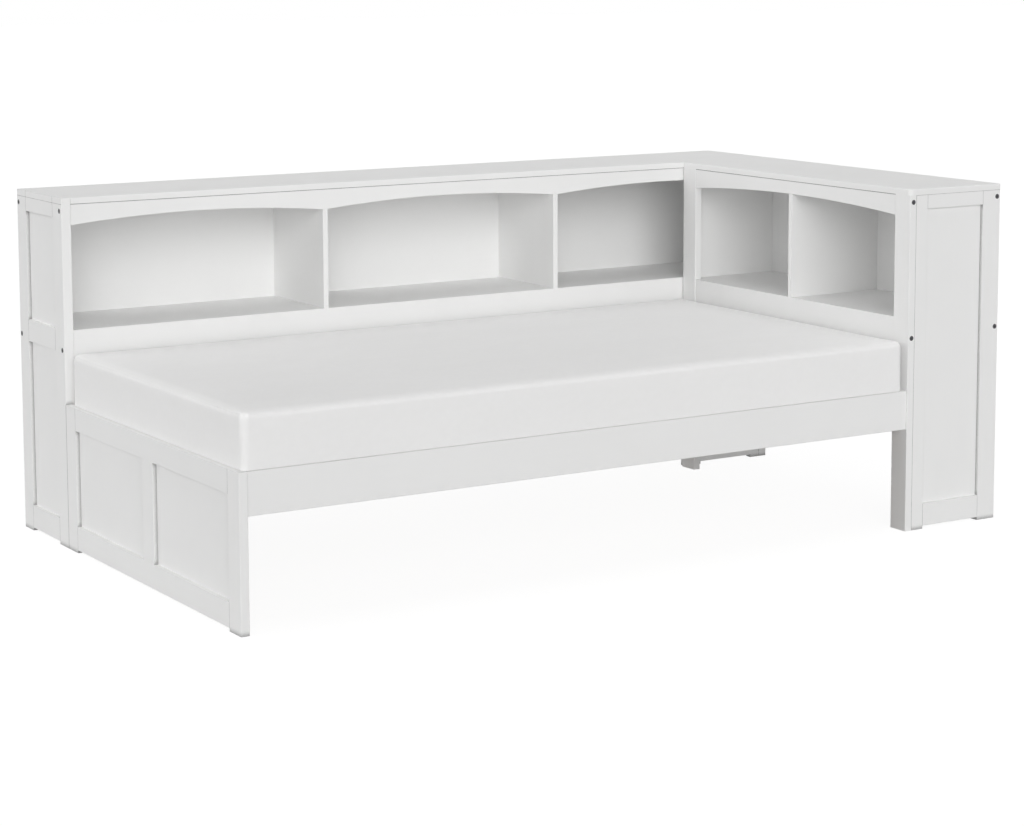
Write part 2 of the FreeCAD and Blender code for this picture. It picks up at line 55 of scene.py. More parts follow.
MM = 0.001
TINY = 1e-9  # keeps a length that is divided by from being zero
WHITE = (1.0, 1.0, 1.0, 1.0)
MATTRESS_LOW, MATTRESS_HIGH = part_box("mattress")
WEBBING_LOW, WEBBING_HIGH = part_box("slat_webbing")

# The nodes that aren't white board, by the finish that they have.
BARE_WOOD = ("bed_slats", "loose_tenons", "side_rail_cleat", "side_case_cleat")
DARK_STEEL = ("case_screws",)
ZINC_STEEL = ("rail_hook_plates", "rail_slot_plates")
WEBBING = ("slat_webbing",)
SOFT = ("mattress",)
AXES = "XYZ"

# A box: its corners, low (0) or high (1) on each axis, and its faces, which point outwards.
BOX_CORNERS = np.array([[i, j, k] for i in (0, 1) for j in (0, 1) for k in (0, 1)])
BOX_FACES = np.array([[0, 1, 3, 2], [4, 6, 7, 5], [0, 4, 5, 1], [2, 3, 7, 6], [0, 2, 6, 4], [1, 5, 7, 3]])

# Framed ends: prefix, the axis that they lie across, and their rails.
TWO_RAILS = ("_bottom_rail", "_top_rail")
THREE_RAILS = TWO_RAILS + ("_middle_rail",)
FRAMED = (("side_case_foot_end", 0, THREE_RAILS), ("side_case_head_end", 0, THREE_RAILS),
          ("footboard", 0, TWO_RAILS), ("head_case_front_end", 1, TWO_RAILS))

# Top boards: the board, what it lies on, the axis across that face, and its low (0) or high (1) side.
TOPPED = (
    ("side_case_top", ("side_case_valance",), 1, 0),
    ("head_case_top", ("head_case_valance",), 0, 0),
    ("side_case_top", ("side_case_foot_end_left_stile", "side_case_foot_end_right_stile"), 0, 0),
    ("side_case_top", ("side_case_head_end_left_stile", "side_case_head_end_right_stile"), 0, 1),
    ("head_case_top", ("head_case_front_end_left_stile", "head_case_front_end_right_stile"), 1, 0),
)

# Upright joints: the board whose face and height the joint takes, the axis across that face and its side,
# and the board at whose low (0) or high (1) side the joint stands.
BUTTED = (
    ("head_case_front_post", 1, 0, "head_case_front_post", 1),
    ("footboard_left_stile", 0, 0, "footboard_left_stile", 1),
    ("head_case_valance", 0, 0, "head_case_front_post", 1),
    ("head_case_valance", 0, 0, "head_case_wall_post", 0),
)

JOINT_SHADE_DEPTH = 0.1 * MM  # how far a painted shade line stands out of a face, and how far it goes in
VALANCE_SHADOW = 3  # times as wide, where a top board lies on a valance, as painted shadow under the top board's overhang

# Where the mattress's lattice has points, as shares of an edge's radius: close together at the outside.
BORDER = np.array([0.0, 0.07, 0.16, 0.28, 0.44, 0.62, 0.81])
LOW_BORDER = np.array([0.0, 0.3, 0.65])
FLATTER = 0.8  # a cell's height in the sides, as a share of its length
TOP_ROOM = 0.5 * MM  # left under the CAD solid's top for the filling
HELD = 0.2 * MM  # what is no higher than this over the slats stays there

# The cover for Cloth: steps in a frame, mass of a point in kg, and how stiff it is.
COVER = {"quality": 5, "mass": 0.25, "tension_stiffness": 18.0, "compression_stiffness": 18.0,
         "shear_stiffness": 6.0, "bending_stiffness": 1.5}

SEAM_PITCH = 4.0 * MM  # between points along a seam
STITCH = 0.28  # share by which a seam's radius rises and falls
SUNK = 0.2  # share of its radius by which a seam lies in the cover

STAPLE_LEG = 2.5 * MM
STAPLE_BEND = 1.5  # radii of the wire, from a staple's corner to where it runs straight
STAPLE_DROP = 0.4  # radii of the wire, from the webbing's underside down to the middle of a crown
STAPLE_OFFSET = 16 * MM  # from a slat's middle, both ways along the bed
EDGES_APART = 30 * MM  # slat corners further apart than this along the bed are on two edges

# A pin in section, from its head's middle to its shank's end: shares of the head's radius, and heights.
PIN_RADII = np.array([0.02, 0.55, 0.9, 1.0, 0.95, 0.35, 0.02])
PIN_HEIGHTS = np.array([0.50, 0.46, 0.34, 0.16, -0.1, -0.2, -1.2]) * MM

# The lamps: name, setting, the way from the bed to the lamp, and how wide it is in degrees.
LAMPS = (
    ("Top lamp", "top_lamp", (0.0, 0.0, 1.0), 50.0),
    ("Front lamp", "front_lamp", (-0.33, -0.90, 0.27), 35.0),
    ("Left lamp", "left_lamp", (-0.60, -0.75, 0.20), 40.0),
    ("Right lamp", "right_lamp", (0.45, -0.85, 0.35), 60.0),
    ("Foot lamp", "foot_lamp", (-0.90, 0.35, 0.30), 60.0),
)
VIEW_END = 200.0  # metres from the camera to where its view stops

# ---------------------------------------------------------------- mesh making

def new_piece(name, points, faces, material, smooth=True):
    """Puts arrays of points (n, 3) and quads (m, 4) into a mesh object that rides on the bed."""
    mesh = bpy.data.meshes.new(name)
    mesh.from_pydata(points.tolist(), [], faces.tolist())
    mesh.polygons.foreach_set("use_smooth", np.full(len(faces), smooth))
    mesh.update()
    mesh.materials.append(material)
    piece = bpy.data.objects.new(name, mesh)
    bpy.context.scene.collection.objects.link(piece)
    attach(piece, "root")
    return piece


def box_lattice(stations):
    """The skin of a box lattice. Point (i, j, k) is (x_i, y_j, z_k) for the three rows of stations;
    each side is a grid of quads, and the points that two or three sides share are one."""
    sides = []
    for axis in range(3):
        a, b = (axis + 1) % 3, (axis + 2) % 3
        i, j = np.meshgrid(np.arange(len(stations[a])), np.arange(len(stations[b])), indexing="ij")
        for end in (0, len(stations[axis]) - 1):
            place = np.zeros(i.shape + (3,), int)
            place[..., axis], place[..., a], place[..., b] = end, i, j
            quads = np.stack([place[:-1, :-1], place[1:, :-1], place[1:, 1:], place[:-1, 1:]], axis=2)
            sides.append((quads if end else quads[:, :, ::-1]).reshape(-1, 4, 3))
    corners = np.concatenate(sides)
    index, inverse = np.unique(corners.reshape(-1, 3), axis=0, return_inverse=True)
    points = np.stack([np.asarray(stations[n])[index[:, n]] for n in range(3)], axis=1)
    return points, inverse.reshape(-1, 4), index


def grid_faces(rows, columns, closed_rows, closed_columns):
    """Quads of a grid of rows by columns, joined round where a direction is closed."""
    r = np.arange(rows if closed_rows else rows - 1)
    c = np.arange(columns if closed_columns else columns - 1)
    i, j = np.meshgrid(r, c, indexing="ij")
    n, m = (i + 1) % rows, (j + 1) % columns
    quads = np.stack([i * columns + j, n * columns + j, n * columns + m, i * columns + m], axis=-1)
    return quads.reshape(-1, 4)


def repeated(points, faces, places):
    """The same small shape at every place: point p of copy c is places[c] + points[p]."""
    count = len(points)
    every = (places[:, None, :] + points[None, :, :]).reshape(-1, 3)
    quads = (np.arange(len(places))[:, None, None] * count + faces[None]).reshape(-1, 4)
    return every, quads


def along(low, high, pitch):
    """Even stations from low to high, no further apart than pitch."""
    return np.linspace(low, high, max(2, int(math.ceil((high - low) / pitch)) + 1))


def circle(count):
    """Even angles round a circle."""
    return np.linspace(0.0, 2 * math.pi, count, endpoint=False)


# ------------------------------------------------------------ material making

class Shader:
    """A material's node tree with short ways to add the nodes that these finishes use."""

    def __init__(self, name):
        self.material = bpy.data.materials.new(name)
        self.material.use_nodes = True
        self.tree = self.material.node_tree
        self.surface = self.tree.nodes["Principled BSDF"]
        self.place = self.node("ShaderNodeTexCoord").outputs["Object"]

    def node(self, kind, settings=None, **sockets):
        """A node with its settings, and its sockets set to a value or linked to another's output."""
        made = self.tree.nodes.new(kind)
        for key, value in (settings or {}).items():
            setattr(made, key, value)
        for key, value in sockets.items():
            self.put(made.inputs[key.replace("_", " ")], value)
        return made

    def put(self, socket, value):
        """Links an output to the socket, or sets the socket's value."""
        if isinstance(value, bpy.types.NodeSocket):
            self.tree.links.new(value, socket)
        else:
            socket.default_value = value

    def stretched(self, scale):
        """Object coordinates times scale, so that a pattern runs long on the axis with the small one."""
        return self.node("ShaderNodeMapping", Vector=self.place, Scale=scale).outputs["Vector"]

    def grained(self, axis, across, lengthwise):
        """Object coordinates for a pattern that is drawn out along one axis."""
        return self.stretched([lengthwise if n == axis else across for n in range(3)])

    def noise(self, vector, scale, detail=3.0, distortion=0.0):
        """Cloudy noise from 0 to 1."""
        made = self.node("ShaderNodeTexNoise", Vector=vector, Scale=scale, Detail=detail,
                         Distortion=distortion)
        return made.outputs["Fac"]

    def wave(self, vector, scale, direction, distortion=0.0):
        """Bands from 0 to 1 that follow each other in one direction."""
        made = self.node("ShaderNodeTexWave", {"bands_direction": direction}, Vector=vector, Scale=scale,
                         Distortion=distortion)
        return made.outputs["Fac"]

    def range(self, value, low, high, start=0.0, end=1.0):
        """value from start..end to low..high, and no further."""
        made = self.node("ShaderNodeMapRange", Value=value, From_Min=start, From_Max=end, To_Min=low,
                         To_Max=high)
        return made.outputs["Result"]

    def plus(self, first, second, operation="ADD"):
        """The sum of two values, or what another operation gives."""
        made = self.node("ShaderNodeMath", {"operation": operation})
        self.put(made.inputs[0], first)
        self.put(made.inputs[1], second)
        return made.outputs["Value"]

    def times(self, first, second):
        """The product of two values."""
        return self.plus(first, second, "MULTIPLY")

    def mix(self, share, first, second):
        """A colour between first and second."""
        made = self.node("ShaderNodeMix", {"data_type": "RGBA"})
        self.put(made.inputs[0], share)
        for socket, value in ((made.inputs[6], first), (made.inputs[7], second)):
            self.put(socket, value if isinstance(value, bpy.types.NodeSocket) else (*value, 1.0))
        return made.outputs[2]

    def bump(self, height, distance, normal=None):
        """A normal that stands up by height times distance, over another normal if one is given."""
        made = self.node("ShaderNodeBump", Height=height, Distance=distance)
        if normal is not None:
            self.put(made.inputs["Normal"], normal)
        return made.outputs["Normal"]

    def finish(self, **sockets):
        """Sets or links the surface's own sockets."""
        for key, value in sockets.items():
            self.put(self.surface.inputs[key.replace("_", " ")], value)
        return self.material


def shade(colour, factor):
    """The colour, lighter or darker."""
    return tuple(min(1.0, c * factor) for c in colour[:3])


def paint_material(look, axis, framing=False):
    """White satin paint over board: the faint lines of the grain below, the fine dimples of a sprayed coat,
    slow changes of tone over a board, edges where the coat is rounder with a painted highlight that makes them
    a little brighter, and, on the framing round a panel, painted shade that greys the upright inner walls."""
    s = Shader("White satin paint, grain along " + AXES[axis] + (", framing" if framing else ""))
    grain = s.noise(s.grained(axis, across=260.0, lengthwise=5.0), 1.0, detail=4.0)
    dimples = s.noise(s.place, 700.0, detail=2.0)
    clouds = s.noise(s.place, 3.2, distortion=0.4)
    rounded = s.node("ShaderNodeBevel", {"samples": 4}, Radius=look.edge_radius).outputs["Normal"]
    flat = s.node("ShaderNodeNewGeometry").outputs["Normal"]
    turned = s.node("ShaderNodeVectorMath", {"operation": "DOT_PRODUCT"})
    s.put(turned.inputs[0], rounded)
    s.put(turned.inputs[1], flat)
    edge = s.range(turned.outputs["Value"], 1.0, 0.0, start=0.78, end=0.995)
    tone = s.range(s.plus(s.times(clouds, 0.75), s.times(grain, 0.25)), 0.0, 1.0, start=0.3, end=0.7)
    body = s.mix(tone, shade(look.paint, 0.985), shade(look.paint, 1.008))
    # Painted highlight: on a rounded edge the colour is lifted towards a lighter paint.
    colour = s.mix(s.times(edge, look.edge_light), body, shade(look.paint, 1.05))
    # Painted shade: on the framing's upright walls, where ambient occlusion finds little open space, the
    # colour is darkened towards a grey paint.
    if framing:
        opening = s.node("ShaderNodeAmbientOcclusion", {"samples": 6}, Distance=look.painted_shade_reach)
        closed = s.range(opening.outputs["AO"], look.painted_crevice_shade, 0.0, start=0.45, end=0.95)
        upwards = s.node("ShaderNodeSeparateXYZ", Vector=flat).outputs["Z"]
        painted_crevice_shade = s.times(closed, s.range(upwards, 1.0, 0.0, end=0.7))
        colour = s.mix(painted_crevice_shade, colour, shade(look.paint, 0.2))
    satin = look.paint_roughness
    rough = s.range(s.noise(s.place, 18.0, detail=4.0), satin - 0.05, satin + 0.06, start=0.3, end=0.7)
    normal = s.bump(grain, 0.05 * MM, s.bump(dimples, 0.02 * MM, rounded))
    return s.finish(Base_Color=colour, Roughness=rough, Normal=normal, Specular_IOR_Level=0.22)


def wood_material(look, axis):
    """Planed softwood, grain along one axis: growth rings as bands bent by noise, fine fibres, darker late
    wood and a few knots, with the fibres raised a little."""
    s = Shader("Planed softwood, grain along " + AXES[axis])
    bend = s.noise(s.grained(axis, across=1.0, lengthwise=0.09), 9.0, detail=2.0, distortion=0.6)
    bands = s.wave(s.grained(axis, across=1.0, lengthwise=0.05), 22.0, AXES[1 - axis], distortion=3.5)
    rings = s.plus(s.times(bands, 0.7), s.times(bend, 0.5))
    fibre = s.noise(s.grained(axis, across=900.0, lengthwise=12.0), 1.0)
    spots = s.node("ShaderNodeTexVoronoi", Vector=s.grained(axis, across=1.0, lengthwise=0.55), Scale=4.6)
    knot = s.range(spots.outputs["Distance"], 1.0, 0.0, start=0.025, end=0.075)
    early_late = s.mix(s.range(rings, 0.0, 1.0, start=0.35, end=0.95), look.wood, look.late_wood)
    fibred = s.mix(s.range(fibre, 0.0, 0.35, start=0.35, end=0.7), early_late, shade(look.late_wood, 0.8))
    colour = s.mix(s.times(knot, 0.75), fibred, shade(look.late_wood, 0.38))
    rough = s.range(fibre, 0.55, 0.72, start=0.3, end=0.7)
    normal = s.bump(fibre, 0.08 * MM, s.bump(rings, 0.06 * MM))
    return s.finish(Base_Color=colour, Roughness=rough, Normal=normal)


def steel_material(name, colour, roughness, spangle_scale, spangle):
    """Plated steel: cells of slightly different tone and gloss, and fine drawn lines."""
    s = Shader(name)
    cells = s.node("ShaderNodeTexVoronoi", Vector=s.place, Scale=spangle_scale).outputs["Color"]
    cell = s.node("ShaderNodeSeparateColor", Color=cells).outputs["Red"]
    lines = s.noise(s.grained(2, across=2500.0, lengthwise=90.0), 1.0, detail=2.0)
    tone = s.mix(cell, shade(colour, 1.0 - spangle), shade(colour, 1.0 + spangle))
    rough = s.range(s.plus(cell, lines), roughness - 0.06, roughness + 0.08, start=0.3, end=1.6)
    return s.finish(Base_Color=tone, Metallic=1.0, Roughness=rough, Normal=s.bump(lines, 0.015 * MM))


def fastener_steel(name, look):
    """Plated wire and pins, brighter than the plates and with finer cells."""
    return steel_material(name, look.zinc, roughness=0.3, spangle_scale=600.0, spangle=0.05)


def joint_shade_material(look):
    """Painted shade in the joints between painted boards: the paint's colour darkened, in patches."""
    s = Shader("Greyed joint filler")
    patches = s.range(s.noise(s.place, 30.0, detail=4.0), 0.0, 1.0, start=0.35, end=0.65)
    tone = s.mix(patches, shade(look.paint, 0.22), shade(look.paint, 0.38))
    return s.finish(Base_Color=tone, Roughness=0.8, Normal=s.bump(s.noise(s.place, 900.0), 0.03 * MM))


def webbing_material(look):
    """Plain-woven tape: warp ribs along the bed crossed by weft threads, and patches of wear."""
    s = Shader("Woven webbing")
    warp = s.wave(s.place, look.thread_scale, "Y")
    weft = s.wave(s.place, look.thread_scale * 0.8, "X")
    weave = s.times(warp, weft)
    worn = s.noise(s.place, 40.0)
    tone = s.mix(s.plus(weave, s.times(worn, 0.4)), shade(look.webbing, 0.72), look.webbing)
    return s.finish(Base_Color=tone, Roughness=0.85, Sheen_Weight=0.25, Sheen_Roughness=0.4,
                    Normal=s.bump(weave, 0.25 * MM))


def ticking_material(look):
    """Knitted ticking: fine rows and columns of loops on every side of the mattress, soft broad ripples where
    the cover lies on the filling, and a fuzzy sheen."""
    s = Shader("Knitted ticking")
    columns, rows = (s.wave(s.place, look.loop_scale, direction) for direction in "XY")
    loops = s.plus(s.plus(columns, rows), s.wave(s.place, look.loop_scale * 1.2, "Z"))
    ripples = s.noise(s.stretched((0.55, 1.0, 1.4)), 7.0, detail=2.0, distortion=0.5)
    slubs = s.noise(s.place, 55.0, detail=4.0)
    share = s.range(s.plus(slubs, ripples), 0.0, 1.0, start=0.7, end=1.3)
    tone = s.mix(share, shade(look.ticking, 0.975), look.ticking)
    normal = s.bump(loops, 0.12 * MM, s.bump(ripples, 2.4 * MM))
    return s.finish(Base_Color=tone, Roughness=0.92, Sheen_Weight=0.3, Sheen_Roughness=0.5,
                    Specular_IOR_Level=0.2, Normal=normal)


def give(node_names, material):
    """Puts the material in every slot of these CAD nodes."""
    for name in node_names:
        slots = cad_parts[name].material_slots
        if not slots:
            raise RuntimeError(name + " has no material slot")
        for one in slots:
            one.material = material


def grain_axis(name):
    """The way a board's grain runs: up a panel or a divider, and else along the board's longest side."""
    if "panel" in name or "dividers" in name:
        return 2
    low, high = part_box(name)
    size = high - low
    return max(range(3), key=lambda n: size[n])


# ------------------------------------------------------------------ settings

class BedFinishes(bpy.types.PropertyGroup):
    """Colours and finishes of the bed's hard parts."""

    paint: FloatVectorProperty(name="Paint", description="Colour of the painted boards", subtype="COLOR",
                               size=3, min=0.0, max=1.0, default=(0.915, 0.915, 0.91))
    paint_roughness: FloatProperty(name="Paint roughness", description="Satin is near 0.4", subtype="FACTOR",
                                   min=0.1, max=0.9, default=0.50)
    edge_radius: FloatProperty(name="Edge radius", description="How round the paint leaves a board's edge",
                               unit="LENGTH", min=0.0, max=0.005, default=0.0012)
    # Painted highlight: how far the paint's colour is lifted on an edge.
    edge_light: FloatProperty(name="Edge light", description="How much brighter the paint is on an edge",
                              subtype="FACTOR", min=0.0, max=1.0, default=0.5)
    # These two set the painted shade on the framing's upright walls beside a panel: how dark, and how far from
    # the panel it reaches.
    painted_crevice_shade: FloatProperty(name="Crevice", description="How grey the framing is beside a panel",
                           subtype="FACTOR", min=0.0, max=1.0, default=0.8)
    painted_shade_reach: FloatProperty(name="Crevice reach", description="How far from a panel the framing is grey",
                                 unit="LENGTH", min=0.0, max=0.05, default=0.014)
    # Width of the painted shade line in a joint between two boards.
    joint: FloatProperty(name="Joint", description="Width of the filled joint between two boards",
                         unit="LENGTH", min=0.0002, max=0.003, default=0.0006)
    wood: FloatVectorProperty(name="Early wood", description="Pale colour of the bare wood", subtype="COLOR",
                              size=3, min=0.0, max=1.0, default=(0.66, 0.47, 0.27))
    late_wood: FloatVectorProperty(name="Late wood", description="Darker lines of the bare wood",
                                   subtype="COLOR", size=3, min=0.0, max=1.0, default=(0.44, 0.26, 0.12))
    screws: FloatVectorProperty(name="Screws", description="Colour of the black oxide screws",
                                subtype="COLOR", size=3, min=0.0, max=1.0, default=(0.09, 0.09, 0.095))
    zinc: FloatVectorProperty(name="Zinc", description="Colour of the plated steel", subtype="COLOR",
                              size=3, min=0.0, max=1.0, default=(0.55, 0.56, 0.58))
    webbing: FloatVectorProperty(name="Webbing", description="Colour of the slats' webbing", subtype="COLOR",
                                 size=3, min=0.0, max=1.0, default=(0.70, 0.67, 0.60))
    thread_scale: FloatProperty(name="Thread scale", description="Wave scale of the webbing's threads",
                                min=20.0, max=800.0, default=210.0)


class BedMattress(bpy.types.PropertyGroup):
    """Form and cover of the mattress."""

    ticking: FloatVectorProperty(name="Ticking", description="Colour of the mattress cover", subtype="COLOR",
                                 size=3, min=0.0, max=1.0, default=(0.98, 0.977, 0.973))
    loop_scale: FloatProperty(name="Loop scale", description="Wave scale of the knitted loops",
                              min=20.0, max=800.0, default=170.0)
    plan_radius: FloatProperty(name="Corner radius", description="Radius of the corners seen from above",
                               unit="LENGTH", min=0.01, max=0.15, default=0.018)
    top_radius: FloatProperty(name="Top edge radius", unit="LENGTH", min=0.005, max=0.05, default=0.016,
                              description="Radius of the edge round the top, at most the corner radius")
    low_radius: FloatProperty(name="Bottom edge radius", unit="LENGTH", min=0.002, max=0.05, default=0.004,
                              description="Radius of the edge round the bottom, at most the corner radius")
    cell: FloatProperty(name="Cell", description="Size of the lattice on the top and bottom",
                        unit="LENGTH", min=0.008, max=0.05, default=0.020)
    swell: FloatProperty(name="Swell", description="The most that the filling pushes the cover out",
                         unit="LENGTH", min=0.0, max=0.02, default=0.004)
    pressure: FloatProperty(name="Pressure", description="Pressure of the filling in the simulation",
                            min=0.0, max=20.0, default=4.0)
    border_wire: FloatProperty(name="Border wire", description="Share of the sides' drawing in that it stops",
                               subtype="FACTOR", min=0.0, max=1.0, default=0.9)
    frames: IntProperty(name="Frames", description="Steps of the simulation", min=1, max=60, default=20)
    seam: FloatProperty(name="Seam", description="Radius of the stitched seams", unit="LENGTH",
                        min=0.0005, max=0.005, default=0.0013)


class BedHardware(bpy.types.PropertyGroup):
    """The small fastenings that hold the webbing and the back panels."""

    staple: FloatProperty(name="Staple width", description="Width of a staple's crown", unit="LENGTH",
                          min=0.004, max=0.02, default=0.0105)
    wire: FloatProperty(name="Staple wire", description="Radius of the staple's wire", unit="LENGTH",
                        min=0.0002, max=0.001, default=0.00045)
    pin_head: FloatProperty(name="Pin head", description="Radius of a panel pin's head", unit="LENGTH",
                            min=0.001, max=0.005, default=0.0022)
    pin_pitch: FloatProperty(name="Pin pitch", description="The most between two panel pins", unit="LENGTH",
                             min=0.04, max=0.4, default=0.15)
    pin_inset: FloatProperty(name="Pin inset", description="From a back panel's edge to its pins",
                             unit="LENGTH", min=0.003, max=0.03, default=0.007)


class BedStage(bpy.types.PropertyGroup):
    """Camera, light and floor."""

    camera: FloatVectorProperty(name="Camera", description="Where the camera stands", subtype="TRANSLATION",
                                unit="LENGTH", size=3, default=(-3.578, -5.751, 1.551))
    yaw: FloatProperty(name="Yaw", description="Camera's turn from the bed's cross way", subtype="ANGLE",
                       default=math.radians(31.90))
    pitch: FloatProperty(name="Pitch", description="How far the camera looks down", subtype="ANGLE",
                         default=math.radians(7.06))
    roll: FloatProperty(name="Roll", description="Camera's tilt to one side", subtype="ANGLE",
                        default=math.radians(-0.15))
    lens: FloatProperty(name="Lens", description="Focal length in millimetres", min=10.0, max=300.0,
                        default=90.18)
    shift: FloatProperty(name="Shift", description="Upward shift of the picture, in widths", min=-1.0,
                         max=1.0, default=-0.15)
    sky: FloatProperty(name="Sky", description="Strength of the even light from all round", min=0.0, max=2.0,
                       default=0.08)
    top_lamp: FloatProperty(name="Top lamp", description="Strength of the lamp overhead", min=0.0, max=10.0,
                            default=0.88)
    front_lamp: FloatProperty(name="Front lamp", description="Strength of the lamp before the open side",
                              min=0.0, max=10.0, default=1.05)
    left_lamp: FloatProperty(name="Left lamp", description="Strength of the lamp before the open corner",
                             min=0.0, max=10.0, default=0.56)
    right_lamp: FloatProperty(name="Right lamp", description="Strength of the lamp before the head's end",
                              min=0.0, max=10.0, default=0.46)
    foot_lamp: FloatProperty(name="Foot lamp", description="Strength of the lamp beyond the footboard",
                             min=0.0, max=10.0, default=1.06)
    floor: FloatProperty(name="Floor size", description="Length of the floor's sides", unit="LENGTH", min=5.0,
                         max=200.0, default=80.0)
    floor_tone: FloatProperty(name="Floor tone", description="How pale the floor is, for light on the bed",
                              subtype="FACTOR", min=0.0, max=1.0, default=0.60)
    floor_glow: FloatProperty(name="Floor white", description="Strength of the floor's own white, as seen",
                              subtype="FACTOR", min=0.0, max=1.0, default=0.93)
    floor_shadow: FloatProperty(name="Floor shadow", description="Depth of the shadow on the floor, as seen",
                                subtype="FACTOR", min=0.0, max=1.0, default=0.12)


# ------------------------------------------------------------------ operators

class BED_OT_paint_boards(bpy.types.Operator):
    """Paints every board of the two bookcases, the footboard and the side rail"""

    bl_idname = "bed.paint_boards"
    bl_label = "Painted boards"

    def execute(self, context):
        look = context.scene.bed_finishes
        paints = [paint_material(look, axis) for axis in range(3)]
        # Stiles and muntins get painted shade on their upright walls beside a panel.
        framing = paint_material(look, 2, True)
        others = BARE_WOOD + DARK_STEEL + ZINC_STEEL + WEBBING + SOFT
        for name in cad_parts:
            if "stile" in name or "muntin" in name:
                give([name], framing)
            elif name not in others:
                give([name], paints[grain_axis(name)])
        return {"FINISHED"}


class BED_OT_joints(bpy.types.Operator):
    """Paints thin lines of shade into the joints in the framed ends, under the two top boards and beside the
    posts
    """

    bl_idname = "bed.joints"
    bl_label = "Filled joints"

    def execute(self, context):
        look = context.scene.bed_finishes
        strips = []
        for prefix, axis, rails in FRAMED:
            strips += self.framed(prefix, axis, rails, look.joint)
        for top, under, axis, side in TOPPED:
            strips += self.topped(top, under, axis, side, look.joint)
        for name, axis, side, other, other_side in BUTTED:
            low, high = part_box(name)
            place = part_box(other)[other_side][1 - axis]
            strips.append(self.strip(axis, (low, high)[side][axis], 2, low[2], high[2], place, look.joint))
        low, high = np.array(strips).transpose(1, 0, 2)[:, :, None, :]
        points = (low + BOX_CORNERS * (high - low)).reshape(-1, 3)
        faces = (BOX_FACES + len(BOX_CORNERS) * np.arange(len(strips))[:, None, None]).reshape(-1, 4)
        # Dark strips of painted shade along the joints.
        new_piece("joint_filler", points, faces, joint_shade_material(look), smooth=False)
        return {"FINISHED"}

    def strip(self, axis, face, run, start, end, place, width):
        """The two corners of a strip of painted shade that lies in a board's face, across one axis, from start
        to end along the run axis, with its middle at the place on the third axis."""
        middle, half = np.zeros(3), np.zeros(3)
        middle[axis], half[axis] = face, JOINT_SHADE_DEPTH
        middle[run], half[run] = (start + end) / 2, (end - start) / 2
        middle[3 - axis - run], half[3 - axis - run] = place, width / 2
        return middle - half, middle + half

    def framed(self, prefix, axis, rails, width):
        """Where rails meet stiles, on both faces of a frame."""
        level = 1 - axis
        stiles = [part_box(prefix + part) for part in ("_left_stile", "_right_stile")]
        stiles.sort(key=lambda box: box[0][level])
        inner = (stiles[0][1][level], stiles[1][0][level])
        strips = []
        for rail in rails:
            low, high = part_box(prefix + rail)
            strips += [self.strip(axis, face, 2, low[2], high[2], place, width)
                       for face in (low[axis], high[axis]) for place in inner]
        return strips

    def topped(self, top, under, axis, side, width):
        """Where a top board lies on what is under it, on one side; wider on a valance, as painted shadow of
        the overhang.
        """
        boxes = [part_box(name) for name in under]
        start, end = min(box[0][1 - axis] for box in boxes), max(box[1][1 - axis] for box in boxes)
        wide = VALANCE_SHADOW * width if "valance" in under[0] else width
        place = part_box(top)[0][2] - wide / 2
        return [self.strip(axis, boxes[0][side][axis], 1 - axis, start, end, place, wide)]


class BED_OT_bare_wood(bpy.types.Operator):
    """Leaves the slats, the cleats that carry them and the loose tenons as bare wood"""

    bl_idname = "bed.bare_wood"
    bl_label = "Slats, cleats and tenons"

    def execute(self, context):
        lengthwise, crosswise = (wood_material(context.scene.bed_finishes, axis) for axis in (0, 1))
        for name in BARE_WOOD:
            give([name], crosswise if name == "bed_slats" else lengthwise)
        return {"FINISHED"}


class BED_OT_steel(bpy.types.Operator):
    """Finishes the connecting screws and the plates that hang the side rail"""

    bl_idname = "bed.steel"
    bl_label = "Screws and rail plates"

    def execute(self, context):
        look = context.scene.bed_finishes
        give(DARK_STEEL, steel_material("Black oxide steel", look.screws, roughness=0.42, spangle_scale=900.0,
                                        spangle=0.06))
        give(ZINC_STEEL, steel_material("Bright zinc", look.zinc, roughness=0.34, spangle_scale=380.0,
                                        spangle=0.08))
        return {"FINISHED"}


class BED_OT_webbing(bpy.types.Operator):
    """Weaves the two straps that keep the slats apart"""

    bl_idname = "bed.webbing"
    bl_label = "Slat webbing"

    def execute(self, context):
        give(WEBBING, webbing_material(context.scene.bed_finishes))
        return {"FINISHED"}


def mattress_lattice(form):
    """A square lattice in the CAD mattress's box, close together near the edges and even between."""
    stations = []
    for n in range(2):
        low, high = MATTRESS_LOW[n], MATTRESS_HIGH[n]
        border = form.plan_radius * BORDER
        middle = along(low + form.plan_radius, high - form.plan_radius, form.cell)
        stations.append(np.concatenate([low + border, middle, (high - border)[::-1]]))
    low, high = MATTRESS_LOW[2], MATTRESS_HIGH[2] - TOP_ROOM
    middle = along(low + form.low_radius, high - form.top_radius, form.cell * FLATTER)
    stations.append(np.concatenate([low + form.low_radius * LOW_BORDER, middle,
                                    (high - form.top_radius * BORDER)[::-1]]))
    return box_lattice(stations)


